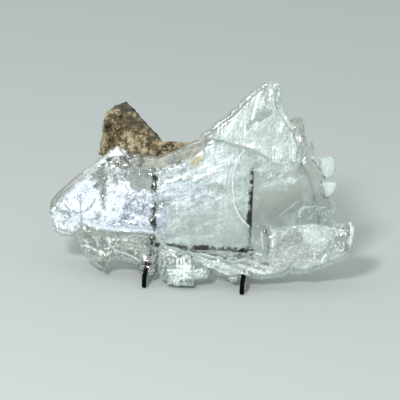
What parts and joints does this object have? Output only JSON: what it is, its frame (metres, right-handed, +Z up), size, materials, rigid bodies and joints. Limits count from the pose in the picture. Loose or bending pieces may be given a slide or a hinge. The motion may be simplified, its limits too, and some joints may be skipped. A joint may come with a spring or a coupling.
{
  "type": "selenite slab",
  "caption": "Clear cleaved selenite slab with ledges, ragged edges and a sandy brown matrix, leaning back on a low stand of black wire",
  "frame": {"origin": "under the middle of the whole object's box, on the surface that the stand's feet rest on", "axes": "+Z up; +X runs along the slab, to the right when facing it; the broad face looks towards -Y and leans back towards +Y"},
  "size_m": [0.327, 0.1206, 0.2023],
  "materials": {
    "selenite": "clear to milky gypsum with pearly cleavage sheets, fine fibres and frosted, crackled ledges",
    "matrix": "coarse, dull sandy crust, tan brown with dark grey and near-black patches",
    "stand": "black dipped or painted steel wire, satin"
  },
  "bodies": {
    "root": {"selenite_slab": "selenite", "matrix": "matrix", "stand_left_arm": "stand", "stand_right_arm": "stand", "stand_left_upright": "stand", "stand_right_upright": "stand", "stand_cross_bar": "stand"}
  },
  "joints": []
}
